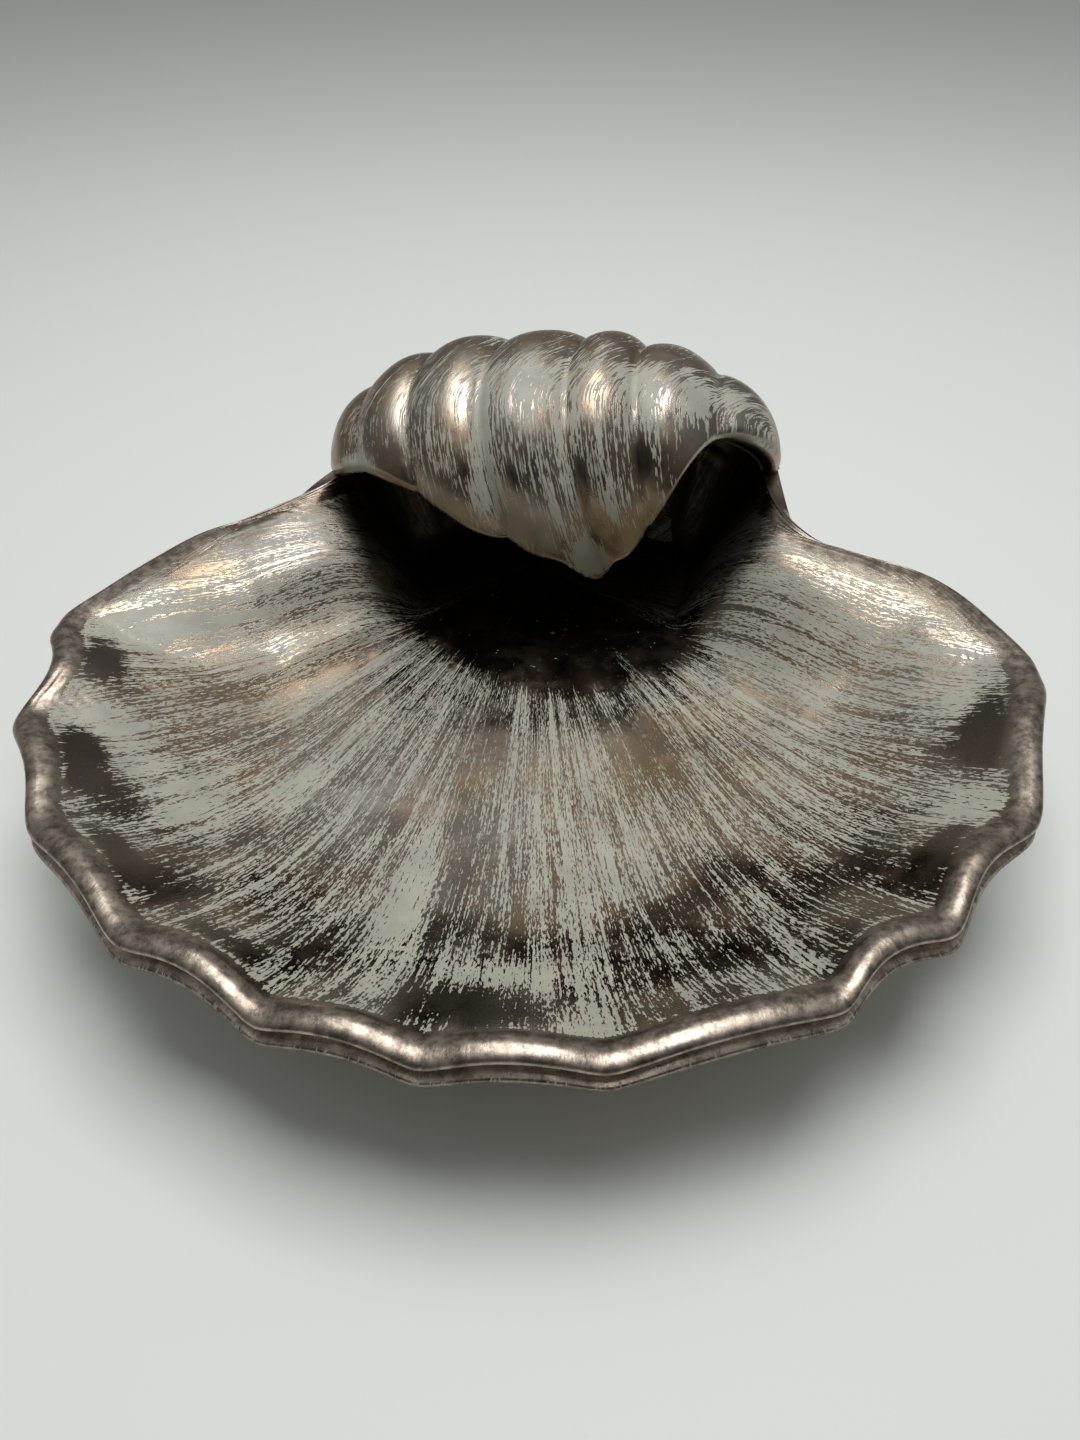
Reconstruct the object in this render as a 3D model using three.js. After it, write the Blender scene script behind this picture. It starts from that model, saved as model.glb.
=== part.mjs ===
// A fluted shell dish in glazed ceramic, with a curled whelk hood over the back of the bowl.
// Millimetres, +Z up, front towards -Y. The dish stands on the table at Z = 0.
import * as THREE from 'three';

const { clamp, degToRad, lerp, radToDeg, smoothstep } = THREE.MathUtils;

// Fan of the bowl, measured from the middle of its rim circle
const FAN_HALF_WIDTH = 160;
const FAN_FRONT_REACH = 154;
const RIB_EDGES_DEG = [-92.5, -74.5, -57.5, -39, -23, -9, 6, 27, 40.5, 58, 83];
const RIB_INSETS = [10.3, 5.2, 4.1, 4.3, 2, 1.8, 2.1, 6, 6.7, 5.5];
const RIB_RISE = 3.5;
const RIB_SCOOP = 0.6;
const BOWL_DEPTH = 35;
const BOWL_WALL = 6;

// Wall of the bowl: hollow up to the flare, then turned out to a thin lip with a thick bead below it.
// Pairs of values are for the fan's lip and for the soft roll on the shoulders.
const WALL_CURVE = 2.1;
const FLARE_SHARE = [0.96, 0.85];
const FLARE_END = [0.2, 0];
const RIM_THICKNESS = [4.5, 8];
const RIM_NOSE = [6, 7];
const RIM_SQUARENESS = [0.7, 1];
const RIM_LEAN_DEG = 5;
const BEAD_PROUD = 9.5;
const BEAD_SPAN = [0.86, 0.935];
const BEAD_END = 0.972;

// Side walls: from an angle round the hub they fall away evenly from the rim, and steeply below the hood.
// Their width grows with the distance from the hood's middle.
const SIDE_SPAN_DEG = [30, 62];
const SIDE_WIDTH = 100;
const SIDE_CURVE = 1.15;
const SIDE_FLOOR = 0.5;
const BACK_SPAN_DEG = [66, 100];
const BACK_WIDTH = 22;
const BACK_CURVE = 4;
const WIDENING_SPAN = [45, 95];

// Flat floor of the bowl, an ellipse, and the hub that the flutes spread from
const FLOOR_CENTRE_Y = 30;
const FLOOR_HALF_WIDTH = 75;
const FLOOR_HALF_DEPTH = 78;
const HUB_INSET = 13;

// Shoulders: two control points each, as fractions along and outward of the line to the hood's tip
const LEFT_SHOULDER = [[0.83, 0.21], [0.395, -0.03]];
const RIGHT_SHOULDER = [[0.71, 0.29], [0.44, -0.355]];
const SOFTENING_SPAN = [0, 0.25];
const UPRIGHT_SPAN = [0.6, 1];

// Whelk hood, a spindle lying along X
const HOOD_CENTRE_X = 8;
const HOOD_AXIS_INSET = 16;
const HOOD_AXIS_RISE = 45;
const HOOD_HALF_LENGTH = 84;
const HOOD_RADIUS = 44.9;
const HOOD_WALL = 6;
const SPINDLE_POWER = 2.2;

// Whorls: grooves as fractions of the half length, and how far they lean to the left over the top
const WHORL_GROOVES = [-0.72, -0.4, -0.06, 0.27, 0.5, 0.77];
const WHORL_RISE = 4.2;
const WHORL_FULLNESS = 0.7;
const WHORL_LEAN = 22;
const WHORL_LEAN_SPAN_DEG = 250;
const HOOD_CROWN_DEG = 75;

// Front lip of the hood: its angle about the axis, 0 level with it, and its drooping tip
const LIP_LEFT_DEG = 32;
const LIP_FALL_DEG = 42;
const LIP_FALL_SPAN = [-0.75, 0.2];
const LIP_CLIMB_DEG = 64;
const LIP_CLIMB_SPAN = [0.36, 0.86];
const LIP_TIP_DEG = 22;
const LIP_TIP_AT = 0.245;
const LIP_TIP_WIDTH = 0.07;

// Foot ring under the floor, measured in from the floor's edge, and the slip that joins the castings
const FOOT_INSET = 8;
const FOOT_WIDTH = 10;
const FOOT_HEIGHT = 7.8;
const FOOT_TAPER = 2;
const FOOT_CHAMFER = 1;
const SLIP_THICKNESS = 0.8;
const SLIP_PROUD = 0.5;
const SEAT_GAP = 0.2;

// Mesh fineness
const RIB_STEPS = [0.07, 0.25, 0.5, 0.75, 0.93];
const SHOULDER_STEPS = 12;
const WALL_STEPS = [0, 0.2, 0.4, 0.58, 0.74, 0.86, 0.93, 0.97, 1];
const NOSE_STEPS = 5;
const WHORL_STEPS = [0, 0.14, 0.38, 0.62, 0.86];
const HOOD_BACK_STEPS = 6;
const HOOD_FRONT_STEPS = 6;
const LIP_STEPS = 4;
const FOOT_STEPS = 48;

// Heights and places that follow from the sizes above
const SEAM = SLIP_THICKNESS + 2 * SEAT_GAP;
const FLOOR_UNDER = FOOT_HEIGHT + SEAM;
const FLOOR_TOP = FLOOR_UNDER + BOWL_WALL;
const RIM_EDGE = FLOOR_TOP + BOWL_DEPTH;
const HOOD_AXIS_Z = FLOOR_TOP + HOOD_AXIS_RISE;
const LEDGE_Z = HOOD_AXIS_Z - SEAM;
const FLOOR_BACK_Y = FLOOR_CENTRE_Y + FLOOR_HALF_DEPTH;
const HUB_Y = FLOOR_BACK_Y - HUB_INSET;
const HOOD_AXIS_Y = FLOOR_BACK_Y - HOOD_AXIS_INSET;

// One closed body from rows of points, with its faces outward when the columns turn left of the rows.
// Points that coincide are merged and the faces they collapse are left out.
function latticeGeometry(rows, { closeRows, closeColumns }) {
  const positions = [];
  const known = new Map();
  const vertex = (point) => {
    const key = [point.x, point.y, point.z].map((value) => value.toFixed(4)).join(',');
    if (!known.has(key)) {
      known.set(key, positions.length / 3);
      positions.push(point.x, point.y, point.z);
    }
    return known.get(key);
  };
  const grid = rows.map((row) => row.map(vertex));
  const index = [];
  const triangle = (a, b, c) => {
    if (a !== b && b !== c && c !== a) index.push(a, b, c);
  };
  const columns = grid[0].length;
  const rowCount = closeRows ? grid.length : grid.length - 1;
  const columnCount = closeColumns ? columns : columns - 1;
  for (let i = 0; i < rowCount; i += 1) {
    const here = grid[i];
    const next = grid[(i + 1) % grid.length];
    for (let j = 0; j < columnCount; j += 1) {
      const k = (j + 1) % columns;
      triangle(here[j], next[j], next[k]);
      triangle(here[j], next[k], here[k]);
    }
  }
  const geometry = new THREE.BufferGeometry();
  geometry.setAttribute('position', new THREE.Float32BufferAttribute(positions, 3));
  geometry.setIndex(index);
  geometry.computeVertexNormals();
  return geometry;
}

// Whorl stations along the hood from the left tip to the right tip, with the crest height at each
function whorlStations() {
  const edges = [-1, ...WHORL_GROOVES, 1];
  const last = edges.length - 2;
  const stations = [];
  for (let i = 0; i <= last; i += 1) {
    for (const step of WHORL_STEPS) {
      let share = step;
      if (i === 0) share = step ** 2;
      if (i === last) share = 1 - (1 - step) ** 2;
      const crest = Math.sin(Math.PI * step) ** WHORL_FULLNESS;
      stations.push({ along: lerp(edges[i], edges[i + 1], share), crest });
    }
  }
  stations.push({ along: 1, crest: 0 });
  return stations;
}

// A point of the hood's outer or inner skin at an angle about its axis, 180 degrees at the back
function hoodPoint(station, angle, inset) {
  const halfLength = HOOD_HALF_LENGTH - inset;
  const swing = Math.sin((Math.PI * (Math.PI - angle)) / degToRad(WHORL_LEAN_SPAN_DEG));
  const offset = halfLength * station.along - WHORL_LEAN * swing ** 2 * (1 - station.along ** 2);
  const slender = Math.max(0, 1 - Math.abs(offset / halfLength) ** SPINDLE_POWER) ** (1 / SPINDLE_POWER);
  const relief = inset > 0 ? 0 : WHORL_RISE * station.crest * Math.sqrt(slender);
  return { offset, radius: (HOOD_RADIUS - inset) * slender + relief };
}

function aroundHood(offset, radius, angle) {
  return new THREE.Vector3(
    HOOD_CENTRE_X + offset,
    HOOD_AXIS_Y - radius * Math.cos(angle),
    HOOD_AXIS_Z + radius * Math.sin(angle),
  );
}

// Outline of the hood's base at the back, which the bowl's ledge and the slip follow
function hoodBase(station, inset) {
  const { offset, radius } = hoodPoint(station, Math.PI, inset);
  return new THREE.Vector2(HOOD_CENTRE_X + offset, HOOD_AXIS_Y + radius);
}

function lipAngle(along) {
  const fall = LIP_FALL_DEG * smoothstep(along, ...LIP_FALL_SPAN);
  const climb = LIP_CLIMB_DEG * smoothstep(along, ...LIP_CLIMB_SPAN);
  const tip = LIP_TIP_DEG * Math.exp(-(((along - LIP_TIP_AT) / LIP_TIP_WIDTH) ** 2));
  return degToRad(LIP_LEFT_DEG - fall + climb - tip);
}

// Angles from the base at the back over the crown to the lip
function hoodAngles(lip) {
  const crown = degToRad(HOOD_CROWN_DEG);
  const angles = [];
  for (let k = 0; k < HOOD_BACK_STEPS; k += 1) angles.push(lerp(Math.PI, crown, k / HOOD_BACK_STEPS));
  for (let k = 0; k <= HOOD_FRONT_STEPS; k += 1) angles.push(lerp(crown, lip, k / HOOD_FRONT_STEPS));
  return angles;
}

// Loop round the hood's wall at one station: outer skin, rounded lip, inner skin and flat base
function hoodLoop(station) {
  const lip = lipAngle(station.along);
  const angles = hoodAngles(lip);
  const skin = (angle, inset) => {
    const { offset, radius } = hoodPoint(station, angle, inset);
    return aroundHood(offset, radius, angle);
  };
  const loop = angles.map((angle) => skin(angle, 0));
  const outer = hoodPoint(station, lip, 0);
  const inner = hoodPoint(station, lip, HOOD_WALL);
  for (let k = 1; k < LIP_STEPS; k += 1) {
    const turn = (Math.PI * k) / LIP_STEPS;
    const share = (1 - Math.cos(turn)) / 2;
    const bulge = ((outer.radius - inner.radius) / 2) * Math.sin(turn);
    const offset = lerp(outer.offset, inner.offset, share);
    const point = aroundHood(offset, lerp(outer.radius, inner.radius, share), lip);
    point.y -= bulge * Math.sin(lip);
    point.z -= bulge * Math.cos(lip);
    loop.push(point);
  }
  loop.push(...angles.reverse().map((angle) => skin(angle, HOOD_WALL)));
  const innerBase = hoodBase(station, HOOD_WALL);
  const outerBase = hoodBase(station, 0);
  for (let k = 1; k < LIP_STEPS; k += 1) {
    const share = (1 - Math.cos((Math.PI * k) / LIP_STEPS)) / 2;
    const point = innerBase.clone().lerp(outerBase, share);
    loop.push(new THREE.Vector3(point.x, point.y, HOOD_AXIS_Z));
  }
  return loop;
}

function hoodGeometry() {
  return latticeGeometry(whorlStations().reverse().map(hoodLoop), { closeRows: false, closeColumns: true });
}

// Rim stations of the fan: a V at each rib edge and a low arch between two edges
function fanCorner(degrees, inset) {
  const angle = degToRad(degrees);
  const x = (FAN_HALF_WIDTH - inset) * Math.sin(angle);
  const y = -(FAN_FRONT_REACH - inset) * Math.cos(angle);
  return new THREE.Vector2(x, y);
}

function fanRim() {
  const stations = [];
  RIB_INSETS.forEach((inset, i) => {
    for (const share of RIB_STEPS) {
      const arch = Math.sin(Math.PI * share);
      const point = fanCorner(lerp(RIB_EDGES_DEG[i], RIB_EDGES_DEG[i + 1], share), inset * arch);
      stations.push({ point, edge: RIM_EDGE + RIB_RISE * arch, climbed: 0, arch });
    }
  });
  return stations;
}

// Rim stations of one shoulder, from the fan's end corner up to the hood's tip
function shoulderRim(corner, tip, controls, side) {
  const line = tip.clone().sub(corner);
  const outward = new THREE.Vector2(line.y, -line.x).multiplyScalar(side);
  const handles = controls.map(([along, out]) => (
    corner.clone().addScaledVector(line, along).addScaledVector(outward, out)
  ));
  const curve = new THREE.CubicBezierCurve(corner, handles[0], handles[1], tip);
  return curve.getSpacedPoints(SHOULDER_STEPS).map((point, k) => {
    const share = k / SHOULDER_STEPS;
    return { point, edge: lerp(RIM_EDGE, LEDGE_Z, share ** 2), climbed: share, arch: 0 };
  });
}

function ledgeRim(stations) {
  return stations.map((station) => ({ point: hoodBase(station, 0), edge: LEDGE_Z, climbed: 1, arch: 0 }));
}

// The whole rim in order: fan, right shoulder, ledge under the hood from right to left, left shoulder
function bowlRim() {
  const whorls = whorlStations();
  const ledge = ledgeRim(whorls.reverse());
  const rightTip = ledge[0].point;
  const leftTip = ledge[ledge.length - 1].point;
  const leftCorner = fanCorner(RIB_EDGES_DEG[0], 0);
  const rightCorner = fanCorner(RIB_EDGES_DEG[RIB_EDGES_DEG.length - 1], 0);
  const right = shoulderRim(rightCorner, rightTip, RIGHT_SHOULDER, 1);
  const left = shoulderRim(leftCorner, leftTip, LEFT_SHOULDER, -1);
  return [...fanRim(), ...right.slice(0, -1), ...ledge, ...left.slice(0, -1).reverse()];
}

// Distance from the hub to the floor's edge along a direction in plan
function floorReach(direction) {
  const ahead = HUB_Y - FLOOR_CENTRE_Y;
  const a = (direction.x / FLOOR_HALF_WIDTH) ** 2 + (direction.y / FLOOR_HALF_DEPTH) ** 2;
  const b = (direction.y * ahead) / FLOOR_HALF_DEPTH ** 2;
  const c = (ahead / FLOOR_HALF_DEPTH) ** 2 - 1;
  return (Math.sqrt(b * b - a * c) - b) / a;
}

// A spoke from the hub to a rim station: its turn from the front, its floor, and the lip at its end
function spoke({ point, edge, climbed, arch }) {
  const direction = new THREE.Vector2(point.x, point.y - HUB_Y);
  const length = direction.length();
  direction.normalize();
  const turned = radToDeg(Math.atan2(Math.abs(direction.x), -direction.y));
  const side = smoothstep(turned, ...SIDE_SPAN_DEG);
  const back = smoothstep(turned, ...BACK_SPAN_DEG);
  const soft = smoothstep(climbed, ...SOFTENING_SPAN);
  const upright = smoothstep(climbed, ...UPRIGHT_SPAN);
  const thickness = lerp(lerp(...RIM_THICKNESS, soft), HOOD_WALL, upright);
  const nose = lerp(...RIM_NOSE, soft) * (1 - upright) ** 2;
  const lean = lerp(degToRad(RIM_LEAN_DEG), Math.PI / 2, upright);
  const flat = floorReach(direction);
  const innerReach = length - nose - (thickness * Math.sin(lean) * (1 + upright)) / 2;
  return {
    direction,
    edge,
    side,
    upright,
    nose,
    squareness: lerp(...RIM_SQUARENESS, soft),
    lean,
    flareStart: lerp(lerp(...FLARE_SHARE, soft), 1, upright),
    flareEnd: lerp(...FLARE_END, soft),
    bead: BEAD_PROUD * (1 - side),
    flat,
    innerFlat: flat * lerp(1, SIDE_FLOOR, side),
    innerReach,
    innerEnd: new THREE.Vector2(0, HUB_Y).addScaledVector(direction, innerReach),
    outerReach: innerReach + thickness * Math.sin(lean),
    outerEdge: edge - thickness * Math.cos(lean),
    innerCurve: lerp(lerp(WALL_CURVE, SIDE_CURVE, side), BACK_CURVE, back) + RIB_SCOOP * arch,
    outerCurve: WALL_CURVE + RIB_SCOOP * arch,
  };
}

// Share of the wall's height at a share of its width: hollow below the flare, then eased out to the lip
function flaredClimb(share, curve, start, end) {
  const run = 1 - start;
  const climb = 1 / (1 + (curve * run) / (2 * start));
  if (share <= start) return climb * (share / start) ** curve;
  const t = (share - start) / run;
  const steep = (climb * curve * run) / start;
  const eased = (2 * t ** 3 - 3 * t ** 2 + 1) * climb + (t ** 3 - 2 * t ** 2 + t) * steep;
  return eased + 3 * t ** 2 - 2 * t ** 3 + (t ** 3 - t ** 2) * end * run;
}

// The lip nearest to a point in plan: its edge and flare, and how far up the wall to it the point is
function nearestLip(point, spokes) {
  let gap = Infinity;
  let lip = null;
  spokes.forEach((from, i) => {
    const to = spokes[(i + 1) % spokes.length];
    const run = to.innerEnd.clone().sub(from.innerEnd);
    const offset = point.clone().sub(from.innerEnd);
    const share = clamp(offset.dot(run) / run.lengthSq(), 0, 1);
    const distance = offset.addScaledVector(run, -share).length();
    if (distance >= gap) return;
    gap = distance;
    lip = {
      edge: lerp(from.edge, to.edge, share),
      flareStart: lerp(from.flareStart, to.flareStart, share),
      flareEnd: lerp(from.flareEnd, to.flareEnd, share),
    };
  });
  const fromHood = point.distanceTo(new THREE.Vector2(HOOD_CENTRE_X, HUB_Y));
  const width = lerp(BACK_WIDTH, SIDE_WIDTH, smoothstep(fromHood, ...WIDENING_SPAN));
  return { ...lip, up: Math.max(0, 1 - gap / width) };
}

// Section of the bowl along one spoke: floor, inner wall, lip, bead, outer wall and underside
function spokeSection(line, spokes) {
  const { direction, edge, side, upright, nose, squareness, lean, flat, innerFlat } = line;
  const { innerReach, outerReach, outerEdge, innerCurve, outerCurve, flareStart, flareEnd } = line;
  const at = (reach, height) => (
    new THREE.Vector3(direction.x * reach, HUB_Y + direction.y * reach, height)
  );
  const innerPoint = (reach, along) => {
    const lip = nearestLip(new THREE.Vector2(0, HUB_Y).addScaledVector(direction, reach), spokes);
    const start = lerp(flareStart, lip.flareStart, side);
    const end = lerp(flareEnd, lip.flareEnd, side);
    const climb = flaredClimb(lerp(along, lip.up, side), innerCurve, start, end);
    return at(reach, lerp(FLOOR_TOP, lerp(edge, lip.edge, side), climb));
  };
  const outerPoint = (share) => {
    const proud = line.bead * smoothstep(share, ...BEAD_SPAN) * (1 - smoothstep(share, BEAD_END, 1));
    const climb = lerp(share ** outerCurve, 1 - Math.sqrt(1 - share * share), upright);
    return at(lerp(flat, outerReach, share) + proud, lerp(FLOOR_UNDER, outerEdge, climb));
  };
  const section = [at(0, FLOOR_TOP), innerPoint(innerFlat / 2, 0)];
  section.push(...WALL_STEPS.map((share) => innerPoint(lerp(innerFlat, innerReach, share), share)));
  for (let k = 1; k < NOSE_STEPS; k += 1) {
    const turn = (Math.PI * k) / NOSE_STEPS;
    const share = (1 - Math.cos(turn)) / 2;
    const bulge = nose * Math.sin(turn) ** squareness;
    const reach = lerp(innerReach, outerReach, share) + bulge * Math.cos(lean);
    section.push(at(reach, lerp(edge, outerEdge, share) + bulge * Math.sin(lean)));
  }
  section.push(...WALL_STEPS.toReversed().map(outerPoint));
  section.push(at(flat / 2, FLOOR_UNDER), at(0, FLOOR_UNDER));
  return section;
}

function bowlGeometry() {
  const spokes = bowlRim().reverse().map(spoke);
  const sections = spokes.map((line) => spokeSection(line, spokes));
  return latticeGeometry(sections, { closeRows: true, closeColumns: false });
}

// Thin layer of slip on the ledge, closed at both tips
function hoodSlipGeometry() {
  const bottom = LEDGE_Z + SEAT_GAP;
  const top = bottom + SLIP_THICKNESS;
  const loops = whorlStations().reverse().map((station) => {
    const outer = hoodBase(station, -SLIP_PROUD);
    const inner = hoodBase(station, HOOD_WALL + SLIP_PROUD);
    return [
      new THREE.Vector3(outer.x, outer.y, bottom),
      new THREE.Vector3(outer.x, outer.y, top),
      new THREE.Vector3(inner.x, inner.y, top),
      new THREE.Vector3(inner.x, inner.y, bottom),
    ];
  });
  const endCap = (loop) => {
    const sum = loop.reduce((total, point) => total.add(point), new THREE.Vector3());
    const middle = sum.divideScalar(loop.length);
    return loop.map(() => middle);
  };
  const rows = [endCap(loops[0]), ...loops, endCap(loops[loops.length - 1])];
  return latticeGeometry(rows, { closeRows: false, closeColumns: true });
}

// A ring along the floor's outline: each profile point is an inset from the floor's edge and a height
function floorRingGeometry(profile) {
  const rows = [];
  for (let k = 0; k < FOOT_STEPS; k += 1) {
    const angle = (2 * Math.PI * k) / FOOT_STEPS;
    rows.push(profile.map(([inset, height]) => new THREE.Vector3(
      (FLOOR_HALF_WIDTH - inset) * Math.cos(angle),
      FLOOR_CENTRE_Y + (FLOOR_HALF_DEPTH - inset) * Math.sin(angle),
      height,
    )));
  }
  return latticeGeometry(rows, { closeRows: true, closeColumns: true });
}

function footRingGeometry() {
  const inside = FOOT_INSET + FOOT_WIDTH;
  const outerFoot = FOOT_INSET + FOOT_TAPER;
  const innerFoot = inside - FOOT_TAPER;
  return floorRingGeometry([
    [FOOT_INSET, FOOT_HEIGHT],
    [inside, FOOT_HEIGHT],
    [innerFoot, FOOT_CHAMFER],
    [innerFoot - FOOT_CHAMFER, 0],
    [outerFoot + FOOT_CHAMFER, 0],
    [outerFoot, FOOT_CHAMFER],
  ]);
}

function footSlipGeometry() {
  const bottom = FOOT_HEIGHT + SEAT_GAP;
  const top = bottom + SLIP_THICKNESS;
  const outside = FOOT_INSET - SLIP_PROUD;
  const inside = FOOT_INSET + FOOT_WIDTH + SLIP_PROUD;
  return floorRingGeometry([[outside, bottom], [outside, top], [inside, top], [inside, bottom]]);
}

// Finishes: pewter lustre brushed over a pale glaze, bare slip and the bare fired foot
function lustreMaterial() {
  return new THREE.MeshStandardMaterial({ color: 0x8b8a80, roughness: 0.3, metalness: 0.6 });
}

function slipMaterial() {
  return new THREE.MeshStandardMaterial({ color: 0x7d7a70, roughness: 0.5, metalness: 0.2 });
}

function bisqueMaterial() {
  return new THREE.MeshStandardMaterial({ color: 0xd8cfbf, roughness: 0.85, metalness: 0 });
}

function namedMesh(name, geometry, material) {
  const mesh = new THREE.Mesh(geometry, material);
  mesh.name = name;
  return mesh;
}

// The model stands with the middle of its outline over the origin
function shellDish() {
  const castings = new THREE.Group();
  castings.add(
    namedMesh('scallop_bowl', bowlGeometry(), lustreMaterial()),
    namedMesh('whelk_hood', hoodGeometry(), lustreMaterial()),
    namedMesh('hood_slip_joint', hoodSlipGeometry(), slipMaterial()),
    namedMesh('foot_ring', footRingGeometry(), bisqueMaterial()),
    namedMesh('foot_slip_joint', footSlipGeometry(), slipMaterial()),
  );
  const middle = new THREE.Box3().setFromObject(castings).getCenter(new THREE.Vector3());
  castings.position.set(-middle.x, -middle.y, 0);
  const dish = new THREE.Group();
  dish.add(castings);
  return dish;
}

export default shellDish();
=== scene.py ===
"""Shell dish: fine surfaces, brushed lustre finish, table, light and camera. Metres, front towards -Y."""
import math
from types import SimpleNamespace

import bpy
import numpy as np
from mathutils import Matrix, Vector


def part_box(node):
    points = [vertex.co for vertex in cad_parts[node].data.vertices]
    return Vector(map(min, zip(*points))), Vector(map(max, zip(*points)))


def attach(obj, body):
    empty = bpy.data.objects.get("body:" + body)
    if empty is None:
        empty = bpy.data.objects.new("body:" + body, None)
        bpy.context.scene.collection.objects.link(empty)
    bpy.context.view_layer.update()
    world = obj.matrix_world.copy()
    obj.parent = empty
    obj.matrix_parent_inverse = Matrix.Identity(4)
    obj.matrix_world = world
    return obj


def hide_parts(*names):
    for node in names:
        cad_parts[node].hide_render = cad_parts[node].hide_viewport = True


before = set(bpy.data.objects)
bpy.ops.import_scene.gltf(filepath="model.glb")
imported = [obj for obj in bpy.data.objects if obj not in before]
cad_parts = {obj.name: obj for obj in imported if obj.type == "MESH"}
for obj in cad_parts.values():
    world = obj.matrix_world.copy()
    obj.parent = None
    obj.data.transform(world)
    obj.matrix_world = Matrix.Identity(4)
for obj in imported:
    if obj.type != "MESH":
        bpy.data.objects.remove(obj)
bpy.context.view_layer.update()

# Fan of the bowl, measured from the middle of its rim circle
FAN_HALF_WIDTH = 0.160
FAN_FRONT_REACH = 0.154
RIB_EDGES_DEG = [-92.5, -74.5, -57.5, -39, -23, -9, 6, 27, 40.5, 58, 83]
RIB_INSETS = [0.0103, 0.0052, 0.0041, 0.0043, 0.0020, 0.0018, 0.0021, 0.0060, 0.0067, 0.0055]
RIB_RISE = 0.0035
RIB_SCOOP = 0.6
BOWL_DEPTH = 0.035
BOWL_WALL = 0.006

# Rounding of the rim's corners: at the front and at the sides, beside the shoulders, and on the ledge
CORNER_ROUND = (0.0024, 0.0050)
CORNER_ROUND_SPAN = (0.06, 0.13)
SHOULDER_ROUND = 0.011
SHOULDER_ROUND_SPAN = (0, 0.016)
LEDGE_ROUND = 1e-5
LEDGE_ROUND_SPAN = (0.80, 0.98)

# Wall of the bowl: hollow up to the flare, then turned out to a thin lip with a thick bead below it.
# Pairs of values are for the fan's lip and for the soft roll on the shoulders.
WALL_CURVE = 2.1
FLARE_SHARE = (0.96, 0.85)
FLARE_END = (0.55, 0.0)
RIM_THICKNESS = (0.0045, 0.008)
RIM_NOSE = (0.0042, 0.007)
RIM_SQUARENESS = (1.15, 1.0)
RIM_LEAN = math.radians(5)
BEAD_PROUD = 0.0080
BEAD_SPAN = (0.86, 0.935)
BEAD_END = 0.972

# Side walls: from an angle round the hub they fall away evenly from the rim, and steeply below the hood.
# Their width grows with the distance from the hood's middle.
SIDE_SPAN_DEG = (30, 62)
SIDE_WIDTH = 0.100
SIDE_CURVE = 1.15
SIDE_FLOOR = 0.5
BACK_SPAN_DEG = (66, 100)
BACK_WIDTH = 0.022
BACK_CURVE = 4
WIDENING_SPAN = (0.045, 0.095)

# Flat floor of the bowl, an ellipse, and the hub that the flutes spread from
FLOOR_CENTRE_Y = 0.030
FLOOR_HALF_WIDTH = 0.075
FLOOR_HALF_DEPTH = 0.078
HUB_INSET = 0.013

# Shoulders: two control points each, as fractions along and outward of the line to the hood's tip
LEFT_SHOULDER = [(0.83, 0.21), (0.395, -0.03)]
RIGHT_SHOULDER = [(0.71, 0.29), (0.44, -0.355)]
SOFTENING_SPAN = (0, 0.25)
UPRIGHT_SPAN = (0.6, 1.0)

# Whelk hood, a spindle lying along X, with its whorls and its drooping lip
HOOD_CENTRE_X = 0.008
HOOD_AXIS_INSET = 0.016
HOOD_AXIS_RISE = 0.045
HOOD_HALF_LENGTH = 0.084
HOOD_RADIUS = 0.0449
HOOD_WALL = 0.006
SPINDLE_POWER = 2.2
WHORL_GROOVES = [-0.72, -0.4, -0.06, 0.27, 0.5, 0.77]
WHORL_RISE = 0.0042
WHORL_FULLNESS = 0.7
WHORL_LEAN = 0.022
WHORL_LEAN_SPAN = math.radians(250)
HOOD_CROWN = math.radians(75)
LIP_LEFT_DEG = 32
LIP_FALL_DEG = 42
LIP_FALL_SPAN = (-0.75, 0.2)
LIP_CLIMB_DEG = 64
LIP_CLIMB_SPAN = (0.36, 0.86)
LIP_TIP_DEG = 22
LIP_TIP_AT = 0.245
LIP_TIP_WIDTH = 0.07

# Foot ring, measured in from the floor's edge, and the slip between the castings
FOOT_INSET = 0.008
FOOT_WIDTH = 0.010
FOOT_HEIGHT = 0.0078
FOOT_TAPER = 0.002
FOOT_ROUND = 0.0015
SEAM = 0.0012
SLIP_PROUD = 0.0006
SLIP_RISE = 0.6
HOOD_SLIP_SQUARENESS = (0.35, 0.7)
FOOT_SLIP_SQUARENESS = (0.3, 1.0)

# Unevenness of the hand-finished casting: wavelength, height and direction of each slow wave, and its lag
LUMP_LAG = 1.7
LUMPS = [
    (0.061, 0.00022, (1.0, 0.3, 0.2)),
    (0.043, 0.00018, (-0.4, 1.0, 0.5)),
    (0.034, 0.00016, (0.7, -0.8, 0.9)),
    (0.025, 0.00010, (0.2, 0.9, -1.0)),
    (0.019, 0.00007, (-1.0, -0.2, 0.6)),
]

# Pale paint dry-brushed over the lustre. Half covers half of the lustre, one covers it all.
# A loss of three numbers is its strength and the two ends of the range in which it sets in.
# Outside runs from nought on the inner face, over the lip, to one on the outer face.
PAINT_INSIDE = 0.50
PAINT_OUTSIDE = 0.42
OUTER_LIP_LOSS = (0.4, 0.965, 0.995)
LIP_OUTSIDE = 0.5
INNER_FACE = (0.3, 0.1)
OUTER_FACE = (0.4, 0.6)

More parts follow.
